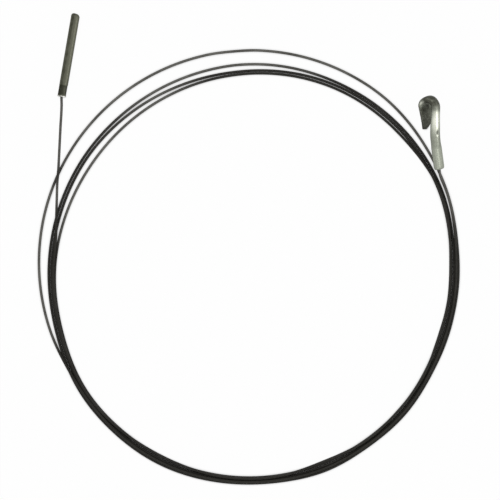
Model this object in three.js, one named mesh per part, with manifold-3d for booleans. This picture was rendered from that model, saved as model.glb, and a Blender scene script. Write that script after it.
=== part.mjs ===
import * as THREE from "three";
import { mergeVertices } from "three/addons/utils/BufferGeometryUtils.js";
import Module from "manifold-3d";

// An accelerator cable of a rear-engined van, laid down as a hand-wound coil.
// Millimetres and degrees, +Z up, seen from above as it lies. Clock angles run
// anticlockwise from +X. The origin is under the middle of the whole footprint.

// The wire rope
const CABLE_DIAMETER = 1.5;
const CABLE_SIDES = 8;
const CABLE_STEPS = 348;
const FITTING_CLEARANCE = 0.3; // between the rope and the bores that hold it
const FITTING_LEAD = 4; // how far the rope runs on straight out of a fitting
const STRAND_CLEARANCE = 0.15; // between strands that lie beside each other

// The coil: an egg-shaped bundle, and one slack turn that leaves it over the top
const BUNDLE_RADIUS = 118.1;
const BUNDLE_SHIFT_X = 1.6;
const BUNDLE_SHIFT_Y = -7.1;
const BUNDLE_OVAL = -1.15;
const BUNDLE_SKEW = 1.4;
const SLACK_TURN_RADIUS = 123;
const COIL_STEP = 5; // degrees between two route points
const TAIL_CLOCK = 180; // where the last strand leaves the coil
const HOOK_SETTLE = 26; // degrees over which it then comes down onto the coil

// Places where the bundle bulges out or in: clock angle, half width, distance
const BULGES = [
  [21, 12, 1],
  [0, 12, -0.8],
  [-22, 12, -1.2],
  [-50, 14, 0.1],
  [-143, 12, 0.6],
  [-160, 14, -0.8],
];

// Places where the bundle lies open and flat: clock angle, half width, share
const OPEN_PLACES = [
  [-3, 13, 0.55],
  [-22, 9, 0.5],
  [-45, 10, 0.4],
  [-70, 10, 0.7],
  [-115, 15, 0.5],
];

// The strands' lanes in the bundle, from the hook's strand to the tail's, in strand
// widths from its middle: packed tight and lying open. There is one strand for each.
const TIGHT_LANES = [0.5, 1, 0, -1, -0.5];
const OPEN_LANES = [1, 2, 0, -1, -2];

// The turns' lanes where they fan out over the top, on its right, there and on its left
const FANNED_LANES_RIGHT = [0, 0, 0.8, -0.2, -1.3];
const FANNED_LANES_TOP = [0, 0, 1.8, -0.6, -1.6];
const FANNED_LANES_LEFT = [0, 0, 2.1, 1, -1.6];
const SLACK_TURN = 1; // the turn that runs over the top on its own
const LOW_STRANDS = [1, 2, 3]; // these lie on the floor, the other two on them
const FAN_RIGHT = [15, 42]; // clock angles over which the bundle fans out
const FAN_LEFT = [192, 142];
const TOP_RIGHT = [58, 98]; // and over which it then reaches its lanes at the top
const TOP_LEFT = [150, 90];
const SLACK_RIGHT = [0, 55];
const SLACK_LEFT = [236, 198];

// The tail, from the coil to the pin: x and y from the coil's centre, and height
const TAIL_POINTS = [
  [-113.2, 12.8, 2.3],
  [-112.9, 21.5, 2.45],
  [-112.8, 29, 2.5],
  [-112.6, 36.5, 2.5],
  [-112.3, 46.4, 2.5],
  [-111.7, 53.9, 2.5],
  [-111.3, 61.5, 2.5],
  [-110.9, 69.6, 2.5],
  [-110.4, 79.5, 2.5],
];

// The carburettor end: a round pin pressed onto the rope
const PIN_MOUTH = [-109.8, 96];
const PIN_TURN = -9.7; // its lean from +Y
const PIN_LENGTH = 49;
const PIN_DIAMETER = 5;
const PIN_END_ROUND = 1.1;
const PIN_LIP_DIAMETER = 4.7;
const PIN_LIP_LENGTH = 0.7;
const PIN_LIP_ROUND = 0.3;
const PIN_NECK_DIAMETER = 4.3;
const PIN_BORE_DEPTH = 14;
const PIN_CRIMP_START = 1.2;
const PIN_CRIMP_LENGTH = 6;
const PIN_NECK_TAPER = 2; // from the pressed neck out to the full diameter
const PIN_CRIMP_FLATS = 3.7; // across the two pressed flats
const PIN_CRIMP_ROLL = 40;

// The pedal end: a tube, pressed onto the rope, flattened and curled into a hook
const HOOK_MOUTH = [109, 54.3];
const HOOK_TURN = 8.2; // its lean from +Y
const HOOK_ROLL = 37; // the curl's plane, turned out of the upright
const HOOK_PITCH = 17; // its curled end is held up by the curl
const HOOK_BORE_DEPTH = 15;
const TUBE_DIAMETER = 5.5;
const CRIMP_WIDTH = 6;
const CRIMP_THICKNESS = 4.8;
const CRIMP_LENGTH = 12.5;
const CRIMP_CHAMFER = 1.4;
const FLAT_WIDTH = 7.4;
const FLAT_THICKNESS = 3.1;
const FLAT_START = 20; // where the flattening begins, along the shank
const FLAT_FULL = 31;
const SHANK_LENGTH = 37; // from the mouth to the curl
const SHANK_BEND = 12; // the shank's bend in its own plane
const SHANK_BEND_START = 15;
const SHANK_BEND_END = 25;
const CURL_INSIDE_DIAMETER = 7.2;
const CURL_STEPS = 16;
const CURL_TIP_LENGTH = 14.5; // the straight end that comes back beside the shank
const TIP_WIDTH = 5;
const TIP_ROUND = 1.2;
const TIP_LEAN = 10; // the straight end runs in towards the shank
const SECTION_POINTS = 24;
const NECK_STEPS = 10;

const wasm = await Module();
wasm.setup();

const radians = THREE.MathUtils.degToRad;
const mix = THREE.MathUtils.lerp;
const cableRadius = CABLE_DIAMETER / 2;
const strandPitch = CABLE_DIAMETER + STRAND_CLEARANCE;
const boreRadius = cableRadius + FITTING_CLEARANCE;

// How far an angle has gone from one end of a range to the other, eased, 0 to 1
function eased(angle, [from, to]) {
  const share = THREE.MathUtils.clamp((angle - from) / (to - from), 0, 1);
  return share * share * (3 - 2 * share);
}

// Booleans on closed three.js geometry
function toSolid(geometry) {
  const bare = geometry.clone();
  bare.deleteAttribute("normal");
  bare.deleteAttribute("uv");
  const merged = mergeVertices(bare, 1e-4);
  return new wasm.Manifold(
    new wasm.Mesh({
      numProp: 3,
      vertProperties: new Float32Array(merged.attributes.position.array),
      triVerts: new Uint32Array(merged.index.array),
    }),
  );
}

function toGeometry(solid) {
  const mesh = solid.getMesh();
  const geometry = new THREE.BufferGeometry();
  geometry.setAttribute("position", new THREE.BufferAttribute(mesh.vertProperties, 3));
  geometry.setIndex(new THREE.BufferAttribute(mesh.triVerts, 1));
  geometry.computeVertexNormals();
  return geometry;
}

// The sum, at a clock angle, of smooth bumps round the coil
function bumps(places, clock) {
  const heights = places.map(([at, width, height]) => {
    const away = THREE.MathUtils.euclideanModulo(clock - at + 180, 360) - 180;
    return height * Math.exp(-((away / width) ** 2));
  });
  return heights.reduce((sum, height) => sum + height, 0);
}

// The middle of the bundle at a clock angle
function bundleRadius(clock) {
  const a = radians(clock);
  const shift = BUNDLE_SHIFT_X * Math.cos(a) + BUNDLE_SHIFT_Y * Math.sin(a);
  const oval = BUNDLE_OVAL * Math.cos(2 * a) + BUNDLE_SKEW * Math.sin(2 * a);
  return BUNDLE_RADIUS + shift + oval + bumps(BULGES, clock);
}

// A strand's distance from the coil's centre. Strand 0 leaves the hook, and each
// strand runs clockwise from 90 degrees to -270, where the next one goes on.
function strandRadius(strand, clock) {
  const onRight = clock > -90;
  const turn = onRight ? strand : strand + 1;
  const upperClock = onRight ? clock : clock + 360;
  const packed = mix(TIGHT_LANES[strand], OPEN_LANES[strand], bumps(OPEN_PLACES, clock));
  if (turn === SLACK_TURN) {
    const inBundle = bundleRadius(clock) + packed * strandPitch;
    const away = eased(upperClock, onRight ? SLACK_RIGHT : SLACK_LEFT);
    return mix(inBundle, SLACK_TURN_RADIUS, away);
  }
  const sideLanes = onRight ? FANNED_LANES_RIGHT : FANNED_LANES_LEFT;
  const top = eased(upperClock, onRight ? TOP_RIGHT : TOP_LEFT);
  const lane = mix(sideLanes[turn] ?? 0, FANNED_LANES_TOP[turn] ?? 0, top);
  const fanned = eased(upperClock, onRight ? FAN_RIGHT : FAN_LEFT);
  return bundleRadius(clock) + mix(packed, lane, fanned) * strandPitch;
}

// How high a strand is lifted by one that it lies on, in strand widths, for the
// sideways distance between them, also in strand widths
function lift(sideways) {
  const [roundEnd, freeEnd] = [0.8, 1.4];
  if (sideways < roundEnd) return Math.sqrt(1 - sideways ** 2);
  const share = Math.min(1, (sideways - roundEnd) / (freeEnd - roundEnd));
  return 0.6 * (1 - share) ** 2 * (1 + 0.67 * share);
}

function strandHeight(strand, clock) {
  if (LOW_STRANDS.includes(strand)) return cableRadius;
  const radius = strandRadius(strand, clock);
  const lifts = LOW_STRANDS.map((low) =>
    lift(Math.abs(radius - strandRadius(low, clock)) / strandPitch),
  );
  return cableRadius + strandPitch * Math.max(...lifts);
}

// A round-edged section of the hook's tube, counted anticlockwise seen from its end
function tubeSection(width, thickness) {
  const edge = Math.min(width, thickness) / 2;
  const points = [];
  for (let i = 0; i < SECTION_POINTS; i++) {
    const a = (2 * Math.PI * (i + 0.5)) / SECTION_POINTS;
    const [c, s] = [Math.cos(a), Math.sin(a)];
    points.push([
      edge * c + Math.sign(c) * (width / 2 - edge),
      edge * s + Math.sign(s) * (thickness / 2 - edge),
    ]);
  }
  return points;
}

// A closed solid through a row of sections, each with its place and directions
function loft(sections) {
  const positions = [];
  const index = [];
  const count = SECTION_POINTS;
  for (const { centre, across, up, outline } of sections)
    for (const [u, v] of outline) {
      const point = centre.clone().addScaledVector(across, u).addScaledVector(up, v);
      positions.push(...point.toArray());
    }
  for (let ring = 0; ring + 1 < sections.length; ring++)
    for (let i = 0; i < count; i++) {
      const [a, b] = [ring * count + i, ring * count + ((i + 1) % count)];
      index.push(a, a + count, b, b, a + count, b + count);
    }
  for (let i = 1; i + 1 < count; i++) {
    const last = (sections.length - 1) * count;
    index.push(0, i, i + 1, last, last + i + 1, last + i);
  }
  const geometry = new THREE.BufferGeometry();
  geometry.setAttribute("position", new THREE.Float32BufferAttribute(positions, 3));
  geometry.setIndex(index);
  return geometry;
}

// The hook in its own frame: its mouth at the origin, its shank along +Y, its
// flattened width along X, curled towards -Z
function hookGeometry() {
  const curlRadius = (CURL_INSIDE_DIAMETER + FLAT_THICKNESS) / 2;
  const sections = [];
  const centre = new THREE.Vector3();
  let [reached, heading] = [0, 0];

  // Carries the shank's middle line on to a distance from the mouth
  const goTo = (distance, angle = heading) => {
    const middle = (angle + heading) / 2;
    const step = distance - reached;
    centre.x += step * Math.sin(middle);
    centre.y += step * Math.cos(middle);
    [reached, heading] = [distance, angle];
  };
  const forward = () => new THREE.Vector3(Math.sin(heading), Math.cos(heading), 0);
  const across = () => new THREE.Vector3(Math.cos(heading), -Math.sin(heading), 0);
  const addSection = (at, turned, width, thickness) => {
    const up = forward().multiplyScalar(Math.sin(turned));
    up.z = Math.cos(turned);
    sections.push({ centre: at, across: across(), up, outline: tubeSection(width, thickness) });
  };

  const mouth = [CRIMP_WIDTH - CRIMP_CHAMFER, CRIMP_THICKNESS - CRIMP_CHAMFER];
  addSection(centre.clone(), 0, ...mouth);
  goTo(CRIMP_CHAMFER);
  addSection(centre.clone(), 0, CRIMP_WIDTH, CRIMP_THICKNESS);
  goTo(CRIMP_LENGTH);
  addSection(centre.clone(), 0, CRIMP_WIDTH, CRIMP_THICKNESS);
  for (let i = 0; i <= NECK_STEPS; i++) {
    const distance = mix(SHANK_BEND_START, FLAT_FULL, i / NECK_STEPS);
    const bent = eased(distance, [SHANK_BEND_START, SHANK_BEND_END]);
    goTo(distance, radians(SHANK_BEND) * bent);
    const flattened = eased(distance, [FLAT_START, FLAT_FULL]);
    const width = mix(TUBE_DIAMETER, FLAT_WIDTH, flattened);
    addSection(centre.clone(), 0, width, mix(TUBE_DIAMETER, FLAT_THICKNESS, flattened));
  }
  goTo(SHANK_LENGTH);
  for (let i = 0; i <= CURL_STEPS; i++) {
    const turned = (Math.PI * i) / CURL_STEPS;
    const at = centre.clone().addScaledVector(forward(), curlRadius * Math.sin(turned));
    at.z = curlRadius * (Math.cos(turned) - 1);
    addSection(at, turned, FLAT_WIDTH, FLAT_THICKNESS);
  }
  const tipAt = (distance) => {
    const aside = distance * Math.tan(radians(TIP_LEAN));
    const at = centre.clone().addScaledVector(forward(), -distance);
    at.addScaledVector(across(), aside);
    at.z = -2 * curlRadius;
    return at;
  };
  addSection(tipAt(CURL_TIP_LENGTH - TIP_ROUND), Math.PI, TIP_WIDTH, FLAT_THICKNESS);
  const tipEnd = [TIP_WIDTH - TIP_ROUND, FLAT_THICKNESS - TIP_ROUND];
  addSection(tipAt(CURL_TIP_LENGTH), Math.PI, ...tipEnd);
  const bore = new THREE.CylinderGeometry(boreRadius, boreRadius, 2 * HOOK_BORE_DEPTH, 16);
  return toGeometry(toSolid(loft(sections)).subtract(toSolid(bore)));
}

// The pin in its own frame: its mouth at the origin, its length along +Y
function pinGeometry() {
  const [bodyRadius, neckRadius] = [PIN_DIAMETER / 2, PIN_NECK_DIAMETER / 2];
  const lipRadius = PIN_LIP_DIAMETER / 2;
  const crimpEnd = PIN_CRIMP_START + PIN_CRIMP_LENGTH;
  const profile = [
    [0, PIN_BORE_DEPTH],
    [boreRadius, PIN_BORE_DEPTH],
    [boreRadius, 0],
    [lipRadius - PIN_LIP_ROUND, 0],
    [lipRadius, PIN_LIP_ROUND],
    [lipRadius, PIN_LIP_LENGTH],
    [neckRadius, PIN_CRIMP_START],
    [neckRadius, crimpEnd - PIN_NECK_TAPER / 2],
    [bodyRadius, crimpEnd + PIN_NECK_TAPER / 2],
  ].map(([r, y]) => new THREE.Vector2(r, y));
  const endSteps = 5;
  for (let i = 0; i <= endSteps; i++) {
    const a = (Math.PI / 2) * (i / endSteps);
    const radius = bodyRadius - PIN_END_ROUND * (1 - Math.cos(a));
    const y = PIN_LENGTH - PIN_END_ROUND * (1 - Math.sin(a));
    profile.push(new THREE.Vector2(radius, y));
  }
  profile.push(new THREE.Vector2(0, PIN_LENGTH));
  let solid = toSolid(new THREE.LatheGeometry(profile, 32));
  for (const side of [0, 180]) {
    const flat = new THREE.BoxGeometry(PIN_DIAMETER, PIN_CRIMP_LENGTH, 2 * PIN_DIAMETER);
    flat.translate(
      PIN_CRIMP_FLATS / 2 + PIN_DIAMETER / 2,
      PIN_CRIMP_START + PIN_CRIMP_LENGTH / 2,
      0,
    );
    flat.rotateY(radians(PIN_CRIMP_ROLL + side));
    solid = solid.subtract(toSolid(flat));
  }
  return toGeometry(solid);
}

// A fitting is rolled about its own length, pitched, and then turned in plan
function placeFitting(mesh, mouth, turn, pitch, roll) {
  mesh.rotation.set(radians(pitch), radians(roll), radians(turn), "ZXY");
  mesh.position.set(mouth[0], mouth[1], 0);
  mesh.updateMatrixWorld(true);
  const box = new THREE.Box3().setFromObject(mesh, true);
  mesh.position.z = -box.min.z;
  mesh.updateMatrixWorld(true);
}

const plating = { metalness: 0.85, roughness: 0.42 };
const hook = new THREE.Mesh(
  hookGeometry(),
  new THREE.MeshStandardMaterial({ color: 0xa8ad9b, ...plating }),
);
hook.name = "pedal_hook";
placeFitting(hook, HOOK_MOUTH, HOOK_TURN, HOOK_PITCH, HOOK_ROLL);

const pin = new THREE.Mesh(
  pinGeometry(),
  new THREE.MeshStandardMaterial({ color: 0x6e6d58, ...plating }),
);
pin.name = "carburettor_pin";
placeFitting(pin, PIN_MOUTH, PIN_TURN, 0, 0);

// The rope's whole route: out of the hook's bore, round the coil and into the pin
function cableRoute() {
  const along = (mesh, y) => mesh.localToWorld(new THREE.Vector3(0, y, 0));
  const points = [
    along(hook, HOOK_BORE_DEPTH - FITTING_CLEARANCE),
    along(hook, HOOK_BORE_DEPTH / 2),
    along(hook, 0),
    along(hook, -FITTING_LEAD),
  ];
  const start = points.at(-1);
  const startClock = THREE.MathUtils.radToDeg(Math.atan2(start.y, start.x));
  const startRadius = Math.hypot(start.x, start.y);
  const lastStrand = TIGHT_LANES.length - 1;
  for (let strand = 0; strand <= lastStrand; strand++) {
    const from = strand === 0 ? startClock - COIL_STEP : 90;
    const to = strand === lastStrand ? TAIL_CLOCK - 360 : -270 + COIL_STEP;
    for (let clock = from; clock > to - 1e-6; clock -= COIL_STEP) {
      const down = eased(clock, [startClock, startClock - HOOK_SETTLE]);
      const up = strand === 0 ? 1 - down : 0;
      const radius = mix(strandRadius(strand, clock), startRadius, up);
      const height = mix(strandHeight(strand, clock), start.z, up);
      const a = radians(clock);
      points.push(new THREE.Vector3(radius * Math.cos(a), radius * Math.sin(a), height));
    }
  }
  points.push(...TAIL_POINTS.map((point) => new THREE.Vector3(...point)));
  points.push(along(pin, -FITTING_LEAD), along(pin, 0), along(pin, PIN_BORE_DEPTH / 2));
  points.push(along(pin, PIN_BORE_DEPTH - FITTING_CLEARANCE));
  return new THREE.CatmullRomCurve3(points, false, "centripetal");
}

const route = cableRoute();
route.arcLengthDivisions = 4000;
const ropeSection = new THREE.Shape();
for (let side = 0; side < CABLE_SIDES; side++) {
  const a = (2 * Math.PI * (side + 0.5)) / CABLE_SIDES;
  const corner = cableRadius / Math.cos(Math.PI / CABLE_SIDES);
  const move = side ? "lineTo" : "moveTo";
  ropeSection[move](corner * Math.cos(a), corner * Math.sin(a));
}
const cable = new THREE.Mesh(
  new THREE.ExtrudeGeometry(ropeSection, { steps: CABLE_STEPS, extrudePath: route }),
  new THREE.MeshStandardMaterial({ color: 0x56554f, metalness: 0.9, roughness: 0.45 }),
);
cable.name = "cable";

const group = new THREE.Group();
group.add(cable, hook, pin);
const footprint = new THREE.Box3().setFromObject(group, true);
const middle = footprint.getCenter(new THREE.Vector3());
group.position.set(-middle.x, -middle.y, -footprint.min.z);

export default group;
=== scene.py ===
# %% [markdown]
# # An accelerator cable, lying in a hand-wound coil
# The real object is one long steel wire rope with a fitting pressed onto each end: a
# flattened and curled tube that hooks onto the pedal's linkage, and a plain round pin
# that a clamp at the carburettor holds. It is thrown down in a few loose turns, on
# white. The CAD gives the sizes and places. Here each piece gets its finer shape and
# its metal.

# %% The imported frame
import math

import bmesh
import bpy
import numpy as np
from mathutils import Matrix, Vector


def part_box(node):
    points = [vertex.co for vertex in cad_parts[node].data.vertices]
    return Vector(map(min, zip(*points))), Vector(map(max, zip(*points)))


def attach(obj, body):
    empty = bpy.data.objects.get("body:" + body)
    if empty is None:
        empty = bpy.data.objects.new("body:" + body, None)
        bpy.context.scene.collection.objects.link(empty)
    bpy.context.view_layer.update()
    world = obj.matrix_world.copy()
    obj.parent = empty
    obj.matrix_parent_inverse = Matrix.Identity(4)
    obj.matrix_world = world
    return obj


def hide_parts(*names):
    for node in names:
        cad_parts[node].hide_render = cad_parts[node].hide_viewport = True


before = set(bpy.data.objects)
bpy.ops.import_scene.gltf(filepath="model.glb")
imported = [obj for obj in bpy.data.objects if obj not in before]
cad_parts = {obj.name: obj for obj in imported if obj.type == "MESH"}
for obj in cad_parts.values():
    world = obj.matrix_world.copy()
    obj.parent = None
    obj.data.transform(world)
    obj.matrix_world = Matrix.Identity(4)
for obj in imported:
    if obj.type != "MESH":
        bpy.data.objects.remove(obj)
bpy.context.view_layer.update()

# %% [markdown]
# ## The camera
# The photograph looks straight down. A long lens, far away, sees a flat coil almost
# without perspective, so the raised hook stays where the photograph has it.

# %% A camera that looks straight down
MM = 0.001
FRAME_WIDTH = 290 * MM  # what the picture's 500 pixels span
AIM = (0.745 * MM, -0.6 * MM)  # the picture's middle
LENS, SENSOR = 400, 36  # millimetres

camera_data = bpy.data.cameras.new("camera")
camera_data.lens, camera_data.sensor_width = LENS, SENSOR
camera_data.clip_start, camera_data.clip_end = 0.05, 20
camera = bpy.data.objects.new("camera", camera_data)
bpy.context.scene.collection.objects.link(camera)
bpy.context.scene.camera = camera
camera.location = (*AIM, FRAME_WIDTH * LENS / SENSOR)
print("camera height:", round(camera.location.z, 3), "m")

# %% [markdown]
# ## The rope's route
# A stiff wire rope that is wound by hand never lies in a true circle: it bulges, and
# its strands cross and ride on each other. Such a path could be drawn by hand, point
# by point. Here it follows rules instead: one egg-shaped line for the bundle, a lane
# beside it for each turn, and a height that comes from what the strand lies on. These
# are the CAD's rules and sizes, so the rope lies in its solid, but for the last few
# millimetres before the pin.

# %% The rope's and the coil's sizes, in millimetres and degrees
CABLE_DIAMETER = 1.5
FITTING_CLEARANCE = 0.3
HOOK_LEAD, PIN_LEAD = 4, 0.4
STRAND_CLEARANCE = 0.15
BUNDLE_RADIUS, BUNDLE_SHIFT_X, BUNDLE_SHIFT_Y = 118.1, 1.6, -7.1
BUNDLE_OVAL, BUNDLE_SKEW = -1.15, 1.4
SLACK_TURN, SLACK_TURN_RADIUS = 1, 123
COIL_STEP = 5
TAIL_CLOCK = 180
HOOK_SETTLE = 26
BULGES = [(21, 12, 1), (0, 12, -0.8), (-22, 14, -1.2), (-50, 14, 0.1)]
BULGES += [(-143, 12, 0.6), (-160, 14, -0.8)]
OPEN_PLACES = [(-3, 13, 0.55), (-22, 9, 0.5), (-45, 10, 0.4), (-70, 10, 0.7), (-115, 15, 0.5)]
TIGHT_LANES = [0.5, 1, 0, -1, -0.5]
OPEN_LANES = [1, 2, 0, -1, -2]
FANNED_LANES_RIGHT = [0, 0, 0.8, -0.2, -1.3, 0]
FANNED_LANES_TOP = [0, 0, 1.8, -0.6, -1.6, 0]
FANNED_LANES_LEFT = [0, 0, 2.1, 1, -1.6, 0]
LOW_STRANDS = [1, 2, 3]
FAN_RIGHT, FAN_LEFT = (15, 42), (192, 142)
TOP_RIGHT, TOP_LEFT = (58, 98), (150, 90)
SLACK_RIGHT, SLACK_LEFT = (0, 55), (236, 198)
TAIL_POINTS = [
    (-113.2, 12.8, 2.3), (-112.9, 21.5, 2.45), (-112.8, 29, 2.5), (-112.6, 36.5, 2.5),
    (-112.3, 46.4, 2.5), (-111.7, 53.9, 2.5), (-111.3, 61.5, 2.5), (-110.9, 69.6, 2.5),
    (-110.4, 79.5, 2.5), (-110, 86, 2.5), (-109.8, 91.5, 2.5),
]
HOOK_MOUTH, HOOK_TURN, HOOK_ROLL, HOOK_PITCH = (109, 54.3), 8.2, 37, 17
HOOK_BORE_DEPTH = 15
PIN_MOUTH, PIN_TURN = (-109.8, 96), -9.7
PIN_BORE_DEPTH = 14
PIN_DIAMETER, PIN_LENGTH = 5, 49
cable_radius = CABLE_DIAMETER / 2
strand_pitch = CABLE_DIAMETER + STRAND_CLEARANCE

# %% Small helpers for blends and bumps
def mix(a, b, share):
    return a + (b - a) * share


def eased(value, ends):
    share = np.clip((value - ends[0]) / (ends[1] - ends[0]), 0, 1)
    return share * share * (3 - 2 * share)


def bumps(places, clock):
    away = [((clock - at + 180) % 360 - 180) / width for at, width, _ in places]
    return sum(height * math.exp(-a * a) for a, (_, _, height) in zip(away, places))


# %% How far out each strand lies
def bundle_radius(clock):
    a = math.radians(clock)
    shift = BUNDLE_SHIFT_X * math.cos(a) + BUNDLE_SHIFT_Y * math.sin(a)
    oval = BUNDLE_OVAL * math.cos(2 * a) + BUNDLE_SKEW * math.sin(2 * a)
    return BUNDLE_RADIUS + shift + oval + bumps(BULGES, clock)


def strand_radius(strand, clock):
    on_right = clock > -90
    turn = strand if on_right else strand + 1
    upper_clock = clock if on_right else clock + 360
    packed = mix(TIGHT_LANES[strand], OPEN_LANES[strand], bumps(OPEN_PLACES, clock))
    if turn == SLACK_TURN:
        in_bundle = bundle_radius(clock) + packed * strand_pitch
        away = eased(upper_clock, SLACK_RIGHT if on_right else SLACK_LEFT)
        return mix(in_bundle, SLACK_TURN_RADIUS, away)
    side_lanes = FANNED_LANES_RIGHT if on_right else FANNED_LANES_LEFT
    top = eased(upper_clock, TOP_RIGHT if on_right else TOP_LEFT)
    lane = mix(side_lanes[turn], FANNED_LANES_TOP[turn], top)
    fanned = eased(upper_clock, FAN_RIGHT if on_right else FAN_LEFT)
    return bundle_radius(clock) + mix(packed, lane, fanned) * strand_pitch


# %% How high each strand lies
def lift(sideways):
    round_end, free_end = 0.8, 1.4
    if sideways < round_end:
        return math.sqrt(1 - sideways**2)
    share = min(1, (sideways - round_end) / (free_end - round_end))
    return 0.6 * (1 - share) ** 2 * (1 + 0.67 * share)


def strand_height(strand, clock):
    if strand in LOW_STRANDS:
        return cable_radius
    radius = strand_radius(strand, clock)
    beside = [abs(radius - strand_radius(low, clock)) / strand_pitch for low in LOW_STRANDS]
    return cable_radius + strand_pitch * max(map(lift, beside))


# %% [markdown]
# ## Where the fittings lie
# Each fitting is made in a frame of its own, with its mouth at the origin and its
# length along +Y. It is then rolled about that length, pitched and turned in plan, and
# its mouth is set at a given height, at which its lowest point comes to the floor. The
# hook rests on the end of its curl, so its mouth stands a few millimetres high.

# %% A fitting's own directions, and placing its points
def fitting_turns(turn, pitch, roll):
    t, p, r = (math.radians(angle) for angle in (turn, pitch, roll))
    about_z = [[math.cos(t), -math.sin(t), 0], [math.sin(t), math.cos(t), 0], [0, 0, 1]]
    about_x = [[1, 0, 0], [0, math.cos(p), -math.sin(p)], [0, math.sin(p), math.cos(p)]]
    about_y = [[math.cos(r), 0, math.sin(r)], [0, 1, 0], [-math.sin(r), 0, math.cos(r)]]
    return np.array(about_z) @ np.array(about_x) @ np.array(about_y)


hook_turns = fitting_turns(HOOK_TURN, HOOK_PITCH, HOOK_ROLL)
pin_turns = fitting_turns(PIN_TURN, 0, 0)

# %% The whole route, hook to pin, as points chosen along the way
HOOK_MOUTH_HEIGHT = 4.98
hook_mouth = np.array([*HOOK_MOUTH, HOOK_MOUTH_HEIGHT])
pin_mouth = np.array([*PIN_MOUTH, PIN_DIAMETER / 2])
hook_along, pin_along = hook_turns[:, 1], pin_turns[:, 1]

points = [
    hook_mouth + hook_along * y
    for y in (HOOK_BORE_DEPTH - FITTING_CLEARANCE, HOOK_BORE_DEPTH / 2, 0, -HOOK_LEAD)
]
start = points[-1]
start_clock = math.degrees(math.atan2(start[1], start[0]))
start_radius = math.hypot(start[0], start[1])
last_strand = len(TIGHT_LANES) - 1
for strand in range(last_strand + 1):
    first = start_clock - COIL_STEP if strand == 0 else 90
    last = TAIL_CLOCK - 360 if strand == last_strand else -270 + COIL_STEP
    for clock in np.arange(first, last - 0.001, -COIL_STEP):
        held = 1 - eased(clock, (start_clock, start_clock - HOOK_SETTLE)) if strand == 0 else 0
        radius = mix(strand_radius(strand, clock), start_radius, held)
        height = mix(strand_height(strand, clock), start[2], held)
        a = math.radians(clock)
        points.append(np.array([radius * math.cos(a), radius * math.sin(a), height]))
points += [np.array(point) for point in TAIL_POINTS]
points += [
    pin_mouth + pin_along * y
    for y in (-PIN_LEAD, 0, PIN_BORE_DEPTH / 2, PIN_BORE_DEPTH - FITTING_CLEARANCE)
]
points = np.array(points)
print(len(points), "route points")

# %% A smooth line through the route points
STEPS_BETWEEN_POINTS = 12


def smooth_line(points, steps):
    """A centripetal Catmull-Rom curve: it passes through every point without loops."""
    padded = np.vstack([2 * points[0] - points[1], points, 2 * points[-1] - points[-2]])
    line = []
    for p0, p1, p2, p3 in zip(padded, padded[1:], padded[2:], padded[3:]):
        d0, d1, d2 = (
            math.sqrt(np.linalg.norm(b - a)) for a, b in ((p0, p1), (p1, p2), (p2, p3))
        )
        t1 = ((p1 - p0) / d0 - (p2 - p0) / (d0 + d1) + (p2 - p1) / d1) * d1
        t2 = ((p2 - p1) / d1 - (p3 - p1) / (d1 + d2) + (p3 - p2) / d2) * d1
        for s in np.arange(steps) / steps:
            square, cube = s * s, s * s * s
            line.append(
                (2 * cube - 3 * square + 1) * p1 + (cube - 2 * square + s) * t1
                + (3 * square - 2 * cube) * p2 + (cube - square) * t2
            )
    return np.array(line + [points[-1]])


line = smooth_line(points, STEPS_BETWEEN_POINTS)
route_middle = (line.min(axis=0) + line.max(axis=0)) / 2
cable_low, cable_high = (np.array(corner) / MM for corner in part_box("cable"))
coil_centre = (cable_low + cable_high) / 2 - route_middle
coil_centre[2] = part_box("carburettor_pin")[0].z / MM
line = (line + coil_centre) * MM

# %% How closely other strands lie beside each place of the rope
# This share later darkens the rope's colour, as painted shade where strands lie together.
CLOSE, APART = 1.15 * CABLE_DIAMETER * MM, 2.1 * CABLE_DIAMETER * MM  # between middle lines
OWN_STRETCH = 12 * MM  # along the rope, what is nearer than this is the same strand
SMOOTHED_OVER = 9  # points of the line

gone = np.concatenate([[0], np.cumsum(np.linalg.norm(np.diff(line, axis=0), axis=1))])
nearest = []
for point, at in zip(line, gone):
    others = line[np.abs(gone - at) > OWN_STRETCH]
    nearest.append(np.linalg.norm(others - point, axis=1).min())
packed_share = 1 - eased(np.array(nearest), (CLOSE, APART))
padded = np.pad(packed_share, SMOOTHED_OVER // 2, mode="edge")
packed_share = np.convolve(padded, np.ones(SMOOTHED_OVER) / SMOOTHED_OVER, "valid")
print("against another strand:", round(100 * float(packed_share.mean())), "% of its length")

# %% [markdown]
# ## Node trees, written as expressions
# Both the geometry and the materials need node trees. Wiring them by hand takes many
# lines, so one small class stands for a socket and turns Python's operators into Math
# nodes, and one method adds any other kind of node.

# %% Sockets that can be added, multiplied and compared
class Socket:
    def __init__(self, nodes, socket):
        self.nodes, self.socket = nodes, socket

    def math(self, operation, *values, **settings):
        inputs = dict(enumerate(values))
        return self.nodes.add("ShaderNodeMath", {"operation": operation, **settings}, inputs)

    def __add__(self, other): return self.math("ADD", self, other)
    def __radd__(self, other): return self.math("ADD", other, self)
    def __sub__(self, other): return self.math("SUBTRACT", self, other)
    def __rsub__(self, other): return self.math("SUBTRACT", other, self)
    def __mul__(self, other): return self.math("MULTIPLY", self, other)
    def __rmul__(self, other): return self.math("MULTIPLY", other, self)
    def __truediv__(self, other): return self.math("DIVIDE", self, other)
    def __rtruediv__(self, other): return self.math("DIVIDE", other, self)
    def __mod__(self, other): return self.math("MODULO", self, other)
    def clamped(self): return self.math("MULTIPLY", self, 1.0, use_clamp=True)


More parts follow.
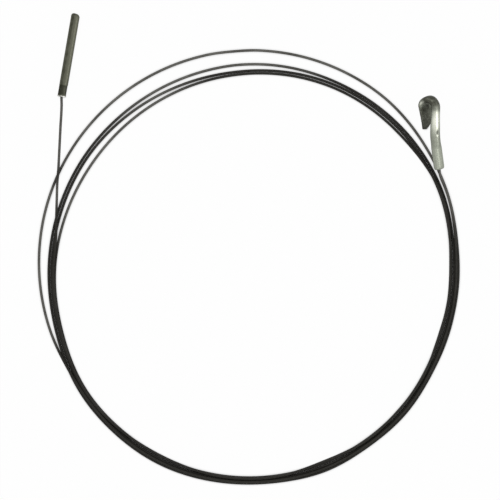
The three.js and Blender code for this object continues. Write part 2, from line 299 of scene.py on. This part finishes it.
class Nodes:
    def __init__(self, tree):
        self.tree = tree

    def add(self, kind, settings=None, inputs=None, output=0):
        """Adds a node: its settings come first, then its sockets' values or links."""
        node = self.tree.nodes.new(kind)
        for name, value in (settings or {}).items():
            if name == "stops":
                self.set_stops(node.color_ramp.elements, value)
            else:
                setattr(node, name, value)
        for name, value in (inputs or {}).items():
            if isinstance(value, Socket):
                self.tree.links.new(value.socket, node.inputs[name])
            else:
                node.inputs[name].default_value = value
        return Socket(self, node.outputs[output]) if len(node.outputs) else node

    def set_stops(self, elements, stops):
        while len(elements) < len(stops):
            elements.new(1)
        for element, (position, colour) in zip(elements, stops):
            element.position, element.color = position, (*colour, 1)


# %% [markdown]
# ## The wire rope
# A cable like this is a single strand of spring steel: a core with twelve outer wires
# laid round it in a long, steep spiral. Twelve real spirals along three and a half
# metres would be millions of faces. So one ring with twelve ridges is swept along the
# route and turned as it goes, a full turn in each lay, which gives the same grooves.
# Sweeping a section along a line is what Geometry Nodes' Curve to Mesh does.

# %% A geometry tree that lays up a rope along a line
def geometry_tree(name, inputs):
    tree = bpy.data.node_groups.new(name, "GeometryNodeTree")
    tree.interface.new_socket("Geometry", in_out="INPUT", socket_type="NodeSocketGeometry")
    for label, kind in inputs.items():
        tree.interface.new_socket(label, in_out="INPUT", socket_type="NodeSocket" + kind)
    tree.interface.new_socket("Geometry", in_out="OUTPUT", socket_type="NodeSocketGeometry")
    nodes = Nodes(tree)
    group = tree.nodes.new("NodeGroupInput")
    return nodes, {socket.name: Socket(nodes, socket) for socket in group.outputs}


rope_inputs = {
    "Radius": "Float", "Wires": "Int", "Groove": "Float",
    "Lay": "Float", "Step": "Float", "Material": "Material",
}
nodes, given = geometry_tree("wire rope", rope_inputs)
centreline = nodes.add("GeometryNodeMeshToCurve", inputs={"Mesh": given["Geometry"]})
centreline = nodes.add(
    "GeometryNodeResampleCurve", {"mode": "LENGTH"},
    {"Curve": centreline, "Length": given["Step"]},
)
along = nodes.add("GeometryNodeSplineParameter", output="Length")
twist = along / given["Lay"] * math.tau
centreline = nodes.add("GeometryNodeSetCurveTilt", inputs={"Curve": centreline, "Tilt": twist})
circle = nodes.add(
    "GeometryNodeCurvePrimitiveCircle", {"mode": "RADIUS"},
    {"Resolution": given["Wires"] * 2, "Radius": given["Radius"]},
)
in_groove = nodes.add("GeometryNodeInputIndex") % 2
section = nodes.add(
    "GeometryNodeStoreNamedAttribute", {"data_type": "FLOAT", "domain": "POINT"},
    {"Geometry": circle, "Name": "groove", "Value": in_groove},
)
position = nodes.add("GeometryNodeInputPosition")
ridged = nodes.add(
    "ShaderNodeVectorMath", {"operation": "SCALE"},
    {0: position, "Scale": 1 - in_groove * given["Groove"]},
)
section = nodes.add("GeometryNodeSetPosition", inputs={"Geometry": section, "Position": ridged})
rope = nodes.add(
    "GeometryNodeCurveToMesh",
    inputs={"Curve": centreline, "Profile Curve": section, "Fill Caps": True},
)
rope = nodes.add("GeometryNodeRealizeInstances", inputs={"Geometry": rope})
rope = nodes.add(
    "GeometryNodeSetMaterial", inputs={"Geometry": rope, "Material": given["Material"]}
)
nodes.add("NodeGroupOutput", inputs={"Geometry": rope})
rope_tree = nodes.tree
print("rope tree:", len(rope_tree.nodes), "nodes")

# %% [markdown]
# ## The metals
# None of the three is polished. The rope is drawn steel wire with a film of old oil,
# which is dark in the grooves between its wires, and its colour is darkened further as
# painted shade where other strands lie against it. The fittings are zinc plated: the
# passivation on zinc is blotchy. Painted shade darkens the hook's curl and end, its
# bores, slit and crease and one side of the pin, and painted highlights brighten a few
# spots. A flat grey would miss all this, so each metal is mottled by noise in the
# object's own coordinates, at the size that the real blotches have.

# %% The pattern helpers of every metal
def material_nodes(name):
    material = bpy.data.materials.new(name)
    material.use_nodes = True
    material.node_tree.nodes.clear()
    nodes = Nodes(material.node_tree)
    place = nodes.add("ShaderNodeTexCoord", output="Object")
    return material, nodes, place


def noise(nodes, place, size, detail=3, roughness=0.5, stretch=None, seed=0.0):
    """Soft noise from 0 to 1, with blotches of about a size in metres."""
    mapped = nodes.add(
        "ShaderNodeMapping", {},
        {"Vector": place, "Scale": stretch or (1, 1, 1), "Location": (seed, seed, seed)},
    )
    return nodes.add(
        "ShaderNodeTexNoise", {"noise_dimensions": "3D"},
        {"Vector": mapped, "Scale": 1 / size, "Detail": detail, "Roughness": roughness},
    )


def ramp(nodes, value, low, high):
    """0 below low, 1 above high, and eased between."""
    return nodes.add(
        "ShaderNodeMapRange", {"interpolation_type": "SMOOTHSTEP"},
        {"Value": value, "From Min": low, "From Max": high},
    )


def blend(nodes, share, first, second):
    """One colour where share is 0 and the other where it is 1."""
    return nodes.add(
        "ShaderNodeMix", {"data_type": "RGBA"},
        {"Factor": share, 6: colour_of(first), 7: colour_of(second)}, output=2,
    )


def colour_of(value):
    return value if isinstance(value, Socket) else (*value, 1)


def finish_metal(nodes, colour, metallic, roughness, height, depth, **uniform):
    bump = nodes.add(
        "ShaderNodeBump", {}, {"Height": height, "Distance": depth, "Strength": 1.0}
    )
    shader = nodes.add(
        "ShaderNodeBsdfPrincipled", {},
        {"Base Color": colour, "Metallic": metallic, "Roughness": roughness,
         "Normal": bump, **uniform},
    )
    nodes.add("ShaderNodeOutputMaterial", inputs={"Surface": shader})


# %% Drawn steel wire, oiled, and darkened as painted shade where strands lie together
# Near black: old oil in the rope's grooves and dirt, and also painted shade between strands and
# in the fittings' hollows.
STEEL_LIGHT, STEEL_DARK, OIL_AND_SHADE = (0.135, 0.132, 0.12), (0.08, 0.078, 0.07), (0.012, 0.011, 0.009)
WORN_SIZE, FINE_SIZE = 14 * MM, 1.5 * MM
WIRE_ROUGH_DEPTH = 0.004 * MM

rope_material, nodes, place = material_nodes("wire_rope")
groove = nodes.add("ShaderNodeAttribute", {"attribute_name": "groove"}, output="Fac")
packed = nodes.add("ShaderNodeAttribute", {"attribute_name": "packed"}, output="Fac")
worn = noise(nodes, place, WORN_SIZE, detail=4)
fine = noise(nodes, place, FINE_SIZE, detail=2, seed=3.1)
steel = blend(nodes, ramp(nodes, worn * 0.7 + fine * 0.3, 0.35, 0.65), STEEL_DARK, STEEL_LIGHT)
# Near black where other strands lie close, as painted shade, and a little in the grooves, as
# oil.
oil_and_shade = (groove * 0.1 + packed * 0.8 + (fine - 0.5) * 0.25).clamped()
finish_metal(
    nodes, blend(nodes, oil_and_shade, steel, OIL_AND_SHADE), 0.4 - 0.3 * oil_and_shade,
    0.36 + 0.1 * fine + 0.1 * oil_and_shade, fine, WIRE_ROUGH_DEPTH,
    **{"Specular IOR Level": 0.3, "Specular Tint": (0.35, 0.35, 0.33, 1)},
)

# %% Zinc plate, pale and green on the hook, olive on the pin
CLOUD_SIZE, SPECK_SIZE = 3.2 * MM, 1.3 * MM
PLATE_ROUGH_DEPTH = 0.006 * MM


def zinc(name, bright, middle, dark, cloud, roughness, edge):
    """Zinc plate: soft clouds, painted highlights in places, and painted shade, an even tone
    and dirt in others.
    """
    material, nodes, place = material_nodes(name)
    clouds = noise(nodes, place, CLOUD_SIZE, detail=3, roughness=0.55, stretch=cloud)
    specks = noise(nodes, place, SPECK_SIZE, detail=2, seed=1.7, stretch=cloud)
    given = {
        label: nodes.add("ShaderNodeAttribute", {"attribute_name": label}, output="Fac")
        for label in ("rubbed", "tarnish", "dirt")
    }
    uneven = (clouds - 0.5) * 0.9 + (specks - 0.5) * 0.5
    # Painted highlight: towards bright where the hook's spots and the pin's lip are marked.
    share = (given["rubbed"] * (1 + uneven)).clamped()
    colour = blend(nodes, share, middle, bright)
    # Towards dark: the plate's even tone, and painted shade over the hook's curl and end and
    # down one side of the pin.
    dark_share = (given["tarnish"] - uneven * 0.9 * (0.25 + given["tarnish"])).clamped()
    colour = blend(nodes, dark_share, colour, dark)
    # Towards near black: dirt, and painted shade in the bores, the slit, the crease and on the
    # hook's end.
    dirt = (given["dirt"] * (1.0 + uneven)).clamped()
    colour = blend(nodes, dirt, colour, OIL_AND_SHADE)
    finish_metal(
        nodes, colour, 0.85 - 0.4 * dirt,
        roughness + 0.12 * dark_share + 0.15 * dirt - 0.08 * share + 0.1 * (clouds - 0.5),
        clouds, PLATE_ROUGH_DEPTH, **{"Specular Tint": (edge, edge, edge, 1)},
    )
    return material


# bright is the painted highlights' colour, and dark the painted shade's.
hook_material = zinc(
    "hook_zinc", bright=(0.75, 0.76, 0.66), middle=(0.33, 0.35, 0.29),
    dark=(0.062, 0.063, 0.048), cloud=(1, 1, 1), roughness=0.4, edge=0.8,
)
pin_material = zinc(
    "pin_zinc", bright=(0.85, 0.85, 0.8), middle=(0.15, 0.152, 0.115),
    dark=(0.03, 0.031, 0.021), cloud=(1, 0.6, 1), roughness=0.42, edge=0.3,
)
print("metals:", ", ".join(m.name for m in (rope_material, hook_material, pin_material)))

# %% The rope itself, made into a plain mesh
def sockets_of(tree):
    """The identifier of each named input: a modifier is set by identifier, not by name."""
    return {
        item.name: item.identifier
        for item in tree.interface.items_tree if item.in_out == "INPUT"
    }


def made_by(tree, name, host_mesh, values):
    """Runs a geometry tree on a mesh and returns its result as an ordinary object."""
    host = bpy.data.objects.new(name + "_host", host_mesh)
    bpy.context.scene.collection.objects.link(host)
    modifier = host.modifiers.new(name, "NODES")
    modifier.node_group = tree
    keys = sockets_of(tree)
    for label, value in values.items():
        modifier[keys[label]] = value
    bpy.context.view_layer.update()
    evaluated = host.evaluated_get(bpy.context.evaluated_depsgraph_get())
    mesh = bpy.data.meshes.new_from_object(evaluated)
    mesh.name = name
    made = bpy.data.objects.new(name, mesh)
    bpy.context.scene.collection.objects.link(made)
    bpy.data.objects.remove(host)
    return made


WIRES, GROOVE, LAY, ROPE_STEP = 12, 0.022, 15 * MM, 0.88 * MM
ROPE_RADIUS = 0.79 * MM  # over the crowns of its wires

route_mesh = bpy.data.meshes.new("route")
route_mesh.from_pydata(line.tolist(), [(i, i + 1) for i in range(len(line) - 1)], [])
# packed carries the painted shade between strands to the rope's material.
route_mesh.attributes.new("packed", "FLOAT", "POINT").data.foreach_set(
    "value", packed_share.astype(np.float32)
)
rope = made_by(
    rope_tree, "rope", route_mesh,
    {"Radius": ROPE_RADIUS, "Wires": WIRES, "Groove": GROOVE, "Lay": LAY,
     "Step": ROPE_STEP, "Material": rope_material},
)
rope.data.shade_smooth()
print("rope:", len(rope.data.polygons), "faces")

# %% [markdown]
# ## Fittings made from rings
# Both fittings are turned or pressed round bars, so each is a row of rings along its
# length, joined into one skin. A lathe could turn the pin, but not its pressed flats,
# and neither could it curl the hook. With rings, every dent is a rule on the radius.

# %% A closed skin over a row of rings
CLOSING_RADIUS = 0.02  # millimetres, of the smallest ring, where a skin is closed


def ring_mesh(name, rings, material, **marks):
    """rings is rows of loops of points in metres, marks are values for each point."""
    rings = np.array(rings)
    rows, around = rings.shape[:2]
    faces = [
        (r * around + i, r * around + (i + 1) % around,
         (r + 1) * around + (i + 1) % around, (r + 1) * around + i)
        for r in range(rows - 1) for i in range(around)
    ]
    faces.append(tuple(range(around))[::-1])
    faces.append(tuple((rows - 1) * around + i for i in range(around)))
    mesh = bpy.data.meshes.new(name)
    mesh.from_pydata(rings.reshape(-1, 3).tolist(), [], faces)
    for label, values in marks.items():
        attribute = mesh.attributes.new(label, "FLOAT", "POINT")
        attribute.data.foreach_set("value", np.array(values, np.float32).ravel())
    turn_faces_out(mesh)
    mesh.shade_smooth()
    mesh.materials.append(material)
    made = bpy.data.objects.new(name, mesh)
    bpy.context.scene.collection.objects.link(made)
    print(name + ":", len(mesh.polygons), "faces")
    return made


def turn_faces_out(mesh):
    work = bmesh.new()
    work.from_mesh(mesh)
    bmesh.ops.recalc_face_normals(work, faces=work.faces)
    work.to_mesh(mesh)
    work.free()


def place_fitting(rings, turns, mouth):
    """Turns rings made in the fitting's own frame and sets its mouth down, in metres."""
    placed = np.array(rings) @ turns.T + mouth
    print("lowest point:", round(float(placed[..., 2].min()), 2), "mm")
    return (placed + coil_centre) * MM


# %% [markdown]
# ## The carburettor pin
# A plain steel ferrule, five millimetres thick: the rope goes into its bored end, and a
# press squeezes a short length of it with two jaws, which leave two soft flats, a thin
# lip at the mouth and a slight waist. Its other end is rounded, to find its way
# through the clamp, and is cut a touch askew.

# %% The pin's turned outline, and what the press does to it
PIN_AROUND = 96
PIN_BORE = 0.86  # the bore's radius once it is pressed onto the rope
PIN_BORE_SHOWN, PIN_BORE_EDGE = 5, 0.25
PIN_LIP_DIAMETER, PIN_LIP_LENGTH, PIN_LIP_ROUND = 5, 0.7, 0.3
PIN_NECK_DIAMETER, PIN_CRIMP_START, PIN_CRIMP_LENGTH = 4.95, 1.2, 6
PIN_NECK_TAPER, PIN_CRIMP_ROLL = 1, 12
PIN_JAW_RIGHT, PIN_JAW_LEFT = 2.1, 2.4  # how near the middle each jaw has come
JAW_SOFTNESS = 0.06  # how far the edges of the flats are rounded
PIN_END_ROUND, PIN_END_SLANT, PIN_SLANTED_LENGTH = 1.8, -8, 8
pin_radius, lip_radius = PIN_DIAMETER / 2, PIN_LIP_DIAMETER / 2
neck_radius = PIN_NECK_DIAMETER / 2
crimp_end = PIN_CRIMP_START + PIN_CRIMP_LENGTH

arc = np.radians(np.linspace(0, 90, 9))
outline = [(CLOSING_RADIUS, PIN_BORE_SHOWN)]
outline += [(PIN_BORE, y) for y in (PIN_BORE_SHOWN, PIN_BORE_SHOWN / 2, PIN_BORE_EDGE)]
outline += [(PIN_BORE + 0.1, 0.06), (PIN_BORE + PIN_BORE_EDGE, 0)]
outline += [(lip_radius - PIN_LIP_ROUND - 0.1, 0)]
outline += [
    (lip_radius - PIN_LIP_ROUND * (1 - math.sin(a)), PIN_LIP_ROUND * (1 - math.cos(a)))
    for a in arc
]
outline += [(lip_radius, 0.5), (lip_radius - 0.05, PIN_LIP_LENGTH), (neck_radius, 1)]
outline += [(neck_radius, y) for y in np.linspace(PIN_CRIMP_START, crimp_end - 1, 26)]
outline += [
    (mix(neck_radius, pin_radius, eased(s, (0, 1))), crimp_end - 1 + PIN_NECK_TAPER * s)
    for s in np.linspace(0.1, 1, 10)
]
outline += [
    (pin_radius, y)
    for y in np.linspace(crimp_end + 1.6, PIN_LENGTH - PIN_END_ROUND - 0.4, 40)
]
outline += [
    (pin_radius - PIN_END_ROUND * (1 - math.cos(a)),
     PIN_LENGTH - PIN_END_ROUND * (1 - math.sin(a)))
    for a in arc
]
outline += [(pin_radius - PIN_END_ROUND - 0.15, PIN_LENGTH), (CLOSING_RADIUS, PIN_LENGTH)]


def pressed_share(y):
    """How fully the jaws have closed at a place along the pin."""
    return eased(y, (PIN_CRIMP_START - 0.3, PIN_CRIMP_START + 0.5)) * eased(
        y, (crimp_end + 0.1, crimp_end - 0.9)
    )


# %% The pin's rings
# Painted shade down the pin's upper left side, away from the light.
PIN_SIDE_SHADE = [(0.6, 116, 30), (0.1, 200, 25)]  # how dark, the clock angle and the width

around = np.radians(np.arange(PIN_AROUND) * 360 / PIN_AROUND)
rings, tarnish, dirt, rubbed = [], [], [], []
for radius, y in outline:
    towards_jaw = np.cos(around - math.radians(PIN_CRIMP_ROLL))
    jaw = np.where(towards_jaw > 0, PIN_JAW_RIGHT, PIN_JAW_LEFT)
    flat = jaw / np.maximum(np.abs(towards_jaw), 0.2)
    share = pressed_share(y) if radius > PIN_BORE + 0.3 else 0
    cut_away = np.log1p(np.exp((radius - flat) / JAW_SOFTNESS)) * JAW_SOFTNESS
    shaped = radius - share * cut_away
    slanted = eased(y, (PIN_LENGTH - PIN_SLANTED_LENGTH, PIN_LENGTH))
    slant = math.tan(math.radians(PIN_END_SLANT)) * slanted
    xs = shaped * np.cos(around)
    ys = y + slant * xs - (pin_radius - PIN_END_ROUND) * abs(slant)
    rings.append(np.stack([xs, ys, shaped * np.sin(around)], 1))
    side_shade = sum(
        dark * np.exp(-(((np.degrees(around) - clock) / width) ** 2))
        for dark, clock, width in PIN_SIDE_SHADE
    )
    # An even tone, darker on the pressed flats, with painted shade down the side.
    tarnish.append(np.clip(0.16 + 0.5 * share + side_shade, 0, 1))
    # The bore's inside near black, as dirt and painted shade.
    dirt.append(np.full(PIN_AROUND, 0.9 if radius <= PIN_BORE + 0.12 else 0.1 * share))
    # Painted highlight: the lip at the mouth is made bright.
    rubbed.append(np.full(PIN_AROUND, 1.0 if y < 0.6 and radius > PIN_BORE + 0.2 else 0.0))

pin = ring_mesh(
    "pin", place_fitting(rings, pin_turns, (*PIN_MOUTH, PIN_DIAMETER / 2)), pin_material,
    tarnish=tarnish, dirt=dirt, rubbed=rubbed,
)

# %% [markdown]
# ## The pedal hook
# One piece of steel tube. Its mouth is crimped onto the rope, its shank is still
# round, and its end is bent over and crushed flat as it comes back beside the shank.
# The press squeezes the tube's walls together, so the flat is thinner along its middle
# than at its edges, and the cut end still shows the slit of the old bore. Pliers have
# left a nick in the shank.

# %% The hook's sizes, in millimetres and degrees, in its own frame
HOOK_AROUND = 72
HOOK_BORE = 0.9
CRIMP_WIDTH, CRIMP_THICKNESS, CRIMP_LENGTH, CRIMP_CHAMFER = 6.1, 5, 12.5, 1.2
TUBE_DIAMETER = 5.75
NECK_START, NECK_END, NECK_WIDTH, NECK_THICKNESS = 20, 33, 5.9, 4.9
SHANK_LENGTH, SHANK_BEND, SHANK_BEND_START, SHANK_BEND_END = 36.4, 12, 15, 25
CURL_RADIUS, CURL_TWIST = 4.5, 21  # the curl's plane is turned further than the crimp
TIP_LENGTH, TIP_TWIST, TIP_ROUND = 13, -5, 0.9
TIP_DROP = 4.1  # how far its end opens downwards, to the floor
SLIT_THICKNESS = 0.45  # of the old bore, where it shows in the cut end
CRIMP_SQUARENESS, ROUND, FLAT_SQUARENESS = 2.6, 2, 2.5
FLAT_WAIST = 0.12  # how much thinner the flat is along its middle

# Spots on it: millimetres along it and their length, the clock angle and their width
NICK, NICK_DEPTH = (22.3, 1.1, 100, 17), 0.5  # where pliers have pinched the tube
# Painted shade in the dark slit where the curl's inner edge meets the shank.
CREASE_SHADE = (51, 2.2, 275, 9)
# Painted highlights on top of the shank, by the nick and on the curl's left shoulder; each row
# starts with how bright.
PAINTED_HIGHLIGHTS = [(1, 29, 5.5, 132, 50), (0.5, 20.7, 0.8, 100, 14), (0.7, 47.5, 1.8, 205, 25)]

# Its section round the curl: degrees turned, width, thickness, and how far it is set over
CURL_SECTIONS = [
    (0, 5.9, 4.9, 0), (45, 6.4, 4.8, -0.2), (90, 7.6, 4.4, 0.6),
    (135, 9.6, 3.6, 1.8), (180, 10.2, 2.9, 2.6),
]
# and along its straight end: millimetres from the curl, and the same three
TIP_SECTIONS = [
    (0, 10.2, 2.9, 2.6), (6.7, 7.8, 2.8, 3.4), (10.1, 6.2, 2.6, 3.5),
    (12, 4.4, 2.3, 3), (13, 3.2, 1.9, 2.6),
]

# %% One section of the tube, from round to flat
def tube_section(width, thickness, squareness, waist=0.0):
    """A loop of (across, up) pairs. squareness 2 is an ellipse, and more is boxier."""
    a = 2 * np.pi * (np.arange(HOOK_AROUND) + 0.5) / HOOK_AROUND
    across = width / 2 * np.sign(np.cos(a)) * np.abs(np.cos(a)) ** (2 / squareness)
    up = thickness / 2 * np.sign(np.sin(a)) * np.abs(np.sin(a)) ** (2 / squareness)
    return across, up * (1 - waist * (1 - (2 * across / width) ** 2) ** 2)


def between(table, value):
    """The row of a table at a value, read off between its rows."""
    columns = np.array(table, float).T
    return [float(np.interp(value, columns[0], column)) for column in columns[1:]]


# %% The hook's middle line and its sections
UP = np.array([0, 0, 1.0])
hook_clock = (np.arange(HOOK_AROUND) + 0.5) * 360 / HOOK_AROUND
centre, reached, heading = np.zeros(3), 0.0, 0.0
rings, tarnish, dirt, rubbed = [], [], [], []


def go_to(distance, angle):
    global centre, reached, heading
    middle, step = (angle + heading) / 2, distance - reached
    centre = centre + step * np.array([math.sin(middle), math.cos(middle), 0])
    reached, heading = distance, angle


def directions(twist):
    """Forward, across and up at the end of the shank, rolled about forward by a twist."""
    t = math.radians(twist)
    forward = np.array([math.sin(heading), math.cos(heading), 0])
    across = np.array([math.cos(heading), -math.sin(heading), 0])
    side = math.cos(t) * across - math.sin(t) * UP
    return forward, side, math.sin(t) * across + math.cos(t) * UP


def patch(along, at, length, clock, width):
    """A soft spot on the tube, at a place along it and a clock angle round it."""
    away = ((hook_clock - clock + 180) % 360 - 180) / width
    return math.exp(-(((along - at) / length) ** 2)) * np.exp(-away * away)


def add_section(at, turned, twist, section, along, dark_share, grime_and_shade=0.0):
    forward, across, up = directions(twist)
    up = forward * math.sin(turned) + up * math.cos(turned)
    us, vs = section
    nick = patch(along, *NICK)
    inward = 1 - NICK_DEPTH * nick / (TUBE_DIAMETER / 2)
    rings.append(at + np.outer(us * inward, across) + np.outer(vs * inward, up))
    # Painted highlights at the listed spots; painted shade comes in with the given darkness.
    highlight_share = sum(share * patch(along, *spot) for share, *spot in PAINTED_HIGHLIGHTS)
    tarnish.append(np.clip(dark_share - 0.9 * highlight_share, 0, 1))
    rubbed.append(np.clip(1.2 * highlight_share, 0, 1))
    # Dirt and painted shade in the nick, and painted shade in the crease.
    dirt.append(np.clip(grime_and_shade + 0.7 * nick + 0.9 * patch(along, *CREASE_SHADE), 0, 1))


# %% From the crimped mouth to the end of the shank
# The bore's inside, near black as dirt and painted shade.
for radius, depth in (
    (CLOSING_RADIUS, 6), (HOOK_BORE, 6), (HOOK_BORE, 2), (HOOK_BORE, 0.3),
    (HOOK_BORE + 0.15, 0.05),
):
    go_to(depth, 0.0)
    add_section(centre, 0, 0, tube_section(2 * radius, 2 * radius, ROUND), 0, 0.5, grime_and_shade=0.9)
for inset, depth in ((1.0, 0.0), (0.45, 0.0), (0.28, 0.1), (0.05, 0.9), (0.0, 1.5)):
    shrink = 2 * CRIMP_CHAMFER * inset
    go_to(depth, 0.0)
    section = tube_section(CRIMP_WIDTH - shrink, CRIMP_THICKNESS - shrink, CRIMP_SQUARENESS)
    add_section(centre, 0, 0, section, depth, 0.1, 0.1 * inset)
crimped = tube_section(CRIMP_WIDTH, CRIMP_THICKNESS, CRIMP_SQUARENESS)
for distance in np.linspace(2, CRIMP_LENGTH, 22):
    go_to(distance, 0.0)
    add_section(centre, 0, 0, crimped, distance, 0.08)
for distance in np.linspace(CRIMP_LENGTH + 0.4, SHANK_LENGTH, 64):
    bent = eased(distance, (SHANK_BEND_START, SHANK_BEND_END))
    go_to(distance, math.radians(SHANK_BEND) * bent)
    opened = eased(distance, (CRIMP_LENGTH, CRIMP_LENGTH + 2.5))
    squeezed = eased(distance, (NECK_START, NECK_END))
    width = mix(mix(CRIMP_WIDTH, TUBE_DIAMETER, opened), NECK_WIDTH, squeezed)
    thickness = mix(mix(CRIMP_THICKNESS, TUBE_DIAMETER, opened), NECK_THICKNESS, squeezed)
    section = tube_section(width, thickness, mix(CRIMP_SQUARENESS, ROUND, opened))
    # A little darker past the crimp, and painted shade where the shank turns into the curl.
    dark_share = 0.1 + 0.2 * opened + 0.4 * eased(distance, (33, SHANK_LENGTH))
    add_section(centre, 0, CURL_TWIST * squeezed, section, distance, dark_share)

# %% Round the curl and back along the straight end
forward, across, up = directions(CURL_TWIST)
for turned in np.linspace(0, 180, 61)[1:]:
    width, thickness, aside = between(CURL_SECTIONS, turned)
    twist = mix(CURL_TWIST, TIP_TWIST, eased(turned, (60, 180)))
    angle = math.radians(turned)
    at = centre + CURL_RADIUS * (forward * math.sin(angle) + up * (math.cos(angle) - 1))
    at = at + directions(twist)[1] * aside
    flat = eased(turned, (60, 170))
    along = SHANK_LENGTH + CURL_RADIUS * angle
    # Painted shade over the curl's dome, a little lighter on its left shoulder.
    dark_share = mix(0.7, 0.95, eased(turned, (0, 30))) - 0.2 * eased(turned, (110, 150))
    squareness = mix(ROUND, FLAT_SQUARENESS, flat)
    section = tube_section(width, thickness, squareness, FLAT_WAIST * flat)
    add_section(at, angle, twist, section, along, dark_share)
curl_end = centre - 2 * CURL_RADIUS * up
aside_way = directions(TIP_TWIST)[1]
down = hook_turns.T @ -UP
BEYOND_SPOTS = 60  # millimetres along the hook, where no spot reaches


def add_tip(distance, width, thickness, aside, grime_and_shade=0.0):
    at = curl_end - forward * distance + aside_way * aside
    at = at + down * TIP_DROP * (distance / TIP_LENGTH) ** 1.5
    section = tube_section(width, thickness, FLAT_SQUARENESS, FLAT_WAIST)
    # Painted shade on the flat end, which lies in the shank's shade.
    dark_share = 0.85 + 0.1 * distance / TIP_LENGTH
    add_section(at, math.pi, TIP_TWIST, section, BEYOND_SPOTS + distance, dark_share, grime_and_shade)


for distance in np.linspace(0.5, TIP_LENGTH, 28):
    # Painted shade, deepening towards the end.
    grime_and_shade = 0.35 * eased(distance, (3, TIP_LENGTH))
    add_tip(distance, *between(TIP_SECTIONS, distance), grime_and_shade)
width, thickness, aside = TIP_SECTIONS[-1][1:]
for s in np.linspace(0.25, 1, 4):
    inset = TIP_ROUND * (1 - math.sqrt(1 - s * s))
    add_tip(TIP_LENGTH + 0.5 * s, width - inset, thickness - inset, aside, 0.5)
# The slit in the cut end, painted near black as shade.
for depth in (0.5, 0.0, -2):
    add_tip(TIP_LENGTH + depth, width - 2, SLIT_THICKNESS, aside, 1.0)

hook = ring_mesh(
    "hook", place_fitting(rings, hook_turns, hook_mouth), hook_material,
    tarnish=tarnish, dirt=dirt, rubbed=rubbed,
)

# %% [markdown]
# ## What rides on what, and what stands for what
# The row has one body, so every piece rides on "root". Each finer piece stands for the
# CAD node of the same part.

for piece, node, slot in (
    (rope, "cable", "wire_rope"),
    (pin, "carburettor_pin", "pin_zinc"),
    (hook, "pedal_hook", "hook_zinc"),
):
    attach(piece, "root")
    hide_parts(node)

exit_point = (hook_mouth + coil_centre) * MM

# %% [markdown]
# ## Floor and light
# The photograph shows the cable on plain white, with hardly a shadow. The floor is a
# white sheet. To the camera, and in reflections, most of it is simply white, and the
# rest takes the lamps' light, so that it still carries the cable's soft shadow. Where
# strands lie close above it, hardly any light gets in, and it isn't white there.

# %% A white floor that keeps the shadow
FLOOR_HALF, FLOOR_GLOW = 3.0, 0.97
SHADED_WITHIN = 1.3 * MM  # of a strand

floor_mesh = bpy.data.meshes.new("floor")
corners = [(x * FLOOR_HALF, y * FLOOR_HALF, 0) for x, y in ((-1, -1), (1, -1), (1, 1), (-1, 1))]
floor_mesh.from_pydata(corners, [], [(0, 1, 2, 3)])
floor = bpy.data.objects.new("floor", floor_mesh)
bpy.context.scene.collection.objects.link(floor)


def seen(nodes):
    """1 for what the camera sees directly or in metal and glass, 0 for the rest."""
    rays = [
        nodes.add("ShaderNodeLightPath", output=ray)
        for ray in ("Is Camera Ray", "Is Glossy Ray", "Is Transmission Ray")
    ]
    return rays[0].math("MAXIMUM", rays[0], rays[1].math("MAXIMUM", rays[1], rays[2]))


floor_material, nodes, _ = material_nodes("floor")
sheet = nodes.add("ShaderNodeBsdfDiffuse", inputs={"Color": (0.9, 0.9, 0.9, 1)})
glow = nodes.add("ShaderNodeEmission", inputs={"Color": (1, 1, 1, 1), "Strength": 1.0})
openness = nodes.add(
    "ShaderNodeAmbientOcclusion", {"samples": 12}, {"Distance": SHADED_WITHIN}, output="AO"
)
glowing = seen(nodes) * openness * FLOOR_GLOW
white = nodes.add("ShaderNodeMixShader", inputs={0: glowing, 1: sheet, 2: glow})
nodes.add("ShaderNodeOutputMaterial", inputs={"Surface": white})
floor_mesh.materials.append(floor_material)

# %% A white surround, and three soft lamps
WORLD_LIGHT = 0.45

world = bpy.data.worlds.new("studio")
bpy.context.scene.world = world
world.use_nodes = True
world.node_tree.nodes.clear()
nodes = Nodes(world.node_tree)
strength = WORLD_LIGHT + seen(nodes) * (1 - WORLD_LIGHT)
background = nodes.add(
    "ShaderNodeBackground", inputs={"Color": (1, 1, 1, 1), "Strength": strength}
)
nodes.add("ShaderNodeOutputWorld", inputs={"Surface": background})


def add_lamp(name, place, size, watts):
    data = bpy.data.lights.new(name, "AREA")
    data.shape, data.size, data.energy = "DISK", size, watts
    lamp = bpy.data.objects.new(name, data)
    lamp.location = place
    lamp.rotation_mode = "QUATERNION"
    lamp.rotation_quaternion = Vector([-x for x in place]).to_track_quat("-Z", "Y")
    bpy.context.scene.collection.objects.link(lamp)


add_lamp("key", (-0.5, 0.7, 1.1), 0.8, 5)
add_lamp("fill", (1.0, -0.2, 0.7), 0.7, 2.5)
add_lamp("back", (0.1, -1.0, 0.9), 0.8, 2)
bpy.context.scene.view_settings.view_transform = "Standard"
